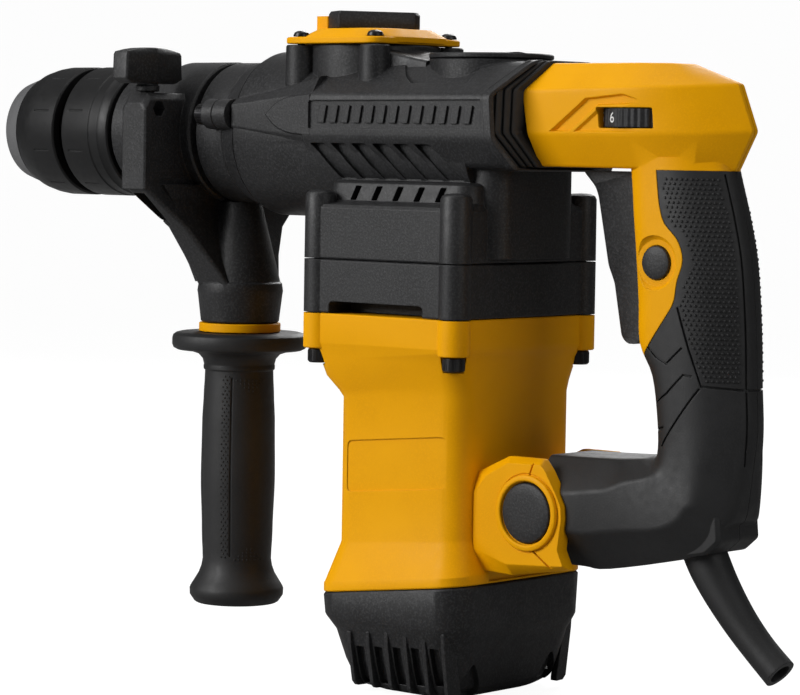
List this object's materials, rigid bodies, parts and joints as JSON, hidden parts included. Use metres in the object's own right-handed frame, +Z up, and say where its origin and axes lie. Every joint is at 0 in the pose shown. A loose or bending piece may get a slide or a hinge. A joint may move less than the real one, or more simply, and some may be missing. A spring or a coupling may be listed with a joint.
{
  "type": "rotary hammer",
  "caption": "Corded rotary hammer with an upright motor, a quick-release chuck, a D-shaped sprung rear handle and a round side grip on a clamp.",
  "frame": {"origin": "on the motor's vertical axis, in the flat base of the motor cap that the tool stands on", "axes": "+Z up along the motor's axis, -Y towards the chuck, +X to the tool's left side"},
  "size_m": [0.112, 0.4091, 0.2708],
  "materials": {
    "black_plastic": "fine spark-eroded grain, satin",
    "yellow_plastic": "smooth moulded plastic with a satin sheen",
    "grip_rubber": "soft overmoulding, matt",
    "steel": "ground",
    "blackened_steel": "black oxide",
    "grey_rubber": "matt",
    "aluminium": "turned",
    "copper": "enamelled winding on a laminated steel core",
    "brass": "drawn"
  },
  "bodies": {
    "housing": {"gear_housing": "black_plastic", "front_housing": "black_plastic", "intermediate_flange": "black_plastic", "motor_housing": "yellow_plastic", "motor_cap": "black_plastic", "selector_cover": "yellow_plastic", "crank_lid": "black_plastic", "motor_bolt_1": "blackened_steel", "motor_bolt_2": "blackened_steel", "motor_bolt_3": "blackened_steel", "motor_bolt_4": "blackened_steel", "cover_screw_1": "blackened_steel", "cover_screw_2": "blackened_steel", "cover_screw_3": "blackened_steel", "cover_screw_4": "blackened_steel", "front_screw_left": "blackened_steel", "front_screw_right": "blackened_steel", "stator": "steel", "brush_holder_left": "brass", "brush_holder_right": "brass", "lower_bearing": "steel", "upper_bearing": "steel", "cylinder_bearing": "steel", "pivot_pin": "steel", "pivot_cap_left": "black_plastic", "pivot_cap_right": "black_plastic", "bellows": "grip_rubber"},
    "spindle": {"cylinder": "steel", "bevel_gear": "steel", "tool_holder": "steel", "front_cap": "grey_rubber", "ball_cage": "blackened_steel", "rear_collar": "black_plastic"},
    "sleeve": {"chuck_sleeve": "black_plastic"},
    "rotor": {"armature": "copper", "fan": "black_plastic", "armature_pinion": "steel"},
    "crank": {"crank_gear": "steel"},
    "intermediate": {"intermediate_gear": "steel", "bevel_pinion": "steel"},
    "piston": {"piston": "aluminium"},
    "con_rod": {"connecting_rod": "steel", "crank_pin": "steel"},
    "striker": {"striker": "steel"},
    "impact_bolt": {"impact_bolt": "steel"},
    "selector": {"selector_lever": "black_plastic"},
    "handle": {"handle_shell_left": "yellow_plastic", "handle_shell_right": "yellow_plastic", "grip_cover_left": "grip_rubber", "grip_cover_right": "grip_rubber", "switch": "black_plastic", "cable_guard": "grip_rubber"},
    "trigger": {"trigger": "black_plastic"},
    "lock_button": {"lock_button": "black_plastic"},
    "speed_dial": {"speed_dial": "black_plastic"},
    "clamp": {"side_clamp": "black_plastic"},
    "side_grip": {"grip_collar": "yellow_plastic", "side_grip": "grip_rubber", "grip_stud": "steel"},
    "depth_knob": {"depth_knob": "black_plastic"}
  },
  "joints": [
    {"name": "spindle_spin", "type": "hinge", "parent": "housing", "child": "spindle", "pos_m": [0, 0, 0.221], "axis": [0, 1, 0], "continuous": true},
    {"name": "sleeve_slide", "type": "slide", "parent": "spindle", "child": "sleeve", "axis": [0, 1, 0], "range_m": [0, 0.0045], "stiffness_N_per_m": 1500, "springref_m": -0.004},
    {"name": "rotor_spin", "type": "hinge", "parent": "housing", "child": "rotor", "pos_m": [0, 0, 0.09], "axis": [0, 0, 1], "continuous": true},
    {"name": "crank_spin", "type": "hinge", "parent": "housing", "child": "crank", "pos_m": [0, 0.01875, 0.19], "axis": [0, 0, 1], "continuous": true},
    {"name": "intermediate_spin", "type": "hinge", "parent": "housing", "child": "intermediate", "pos_m": [0, -0.0225, 0.19], "axis": [0, 0, 1], "continuous": true},
    {"name": "piston_slide", "type": "slide", "parent": "housing", "child": "piston", "axis": [0, -1, 0], "range_m": [0, 0.02]},
    {"name": "wrist_swing", "type": "hinge", "parent": "piston", "child": "con_rod", "pos_m": [0, -0.01, 0.221], "axis": [0, 0, 1], "range_deg": [-14.5, 14.5]},
    {"name": "striker_slide", "type": "slide", "parent": "housing", "child": "striker", "axis": [0, -1, 0], "range_m": [0, 0.0075]},
    {"name": "bolt_slide", "type": "slide", "parent": "housing", "child": "impact_bolt", "axis": [0, -1, 0], "range_m": [0, 0.004]},
    {"name": "selector_turn", "type": "hinge", "parent": "housing", "child": "selector", "pos_m": [0, -0.044, 0.265], "axis": [0, 0, 1], "range_deg": [0, 90]},
    {"name": "handle_swing", "type": "hinge", "parent": "housing", "child": "handle", "pos_m": [0, 0.062, 0.0772], "axis": [1, 0, 0], "range_deg": [0, 2], "stiffness_Nm_per_rad": 25, "springref_deg": -3.44},
    {"name": "trigger_squeeze", "type": "hinge", "parent": "handle", "child": "trigger", "pos_m": [0, 0.0935, 0.203], "axis": [1, 0, 0], "range_deg": [0, 7], "stiffness_Nm_per_rad": 0.8, "springref_deg": -6.88},
    {"name": "lock_button_press", "type": "slide", "parent": "handle", "child": "lock_button", "axis": [-1, 0, 0], "range_m": [0, 0.003], "stiffness_N_per_m": 400, "springref_m": -0.003},
    {"name": "dial_turn", "type": "hinge", "parent": "handle", "child": "speed_dial", "pos_m": [0.0055, 0.099, 0.2285], "axis": [0, 0, 1], "range_deg": [0, 150]},
    {"name": "clamp_turn", "type": "hinge", "parent": "housing", "child": "clamp", "pos_m": [0, -0.133, 0.221], "axis": [0, 1, 0], "continuous": true},
    {"name": "grip_screw", "type": "hinge", "parent": "clamp", "child": "side_grip", "pos_m": [0, -0.1184, 0.1], "axis": [0, 0, 1], "range_deg": [-360, 360]},
    {"name": "knob_screw", "type": "hinge", "parent": "clamp", "child": "depth_knob", "pos_m": [0.042, -0.133, 0.245], "axis": [0, 0, 1], "range_deg": [-360, 360]}
  ],
  "couplings": [
    {"joint": "intermediate_spin", "follows": "spindle_spin", "ratio": -3},
    {"joint": "rotor_spin", "follows": "spindle_spin", "ratio": 15},
    {"joint": "crank_spin", "follows": "spindle_spin", "ratio": -3.75}
  ]
}
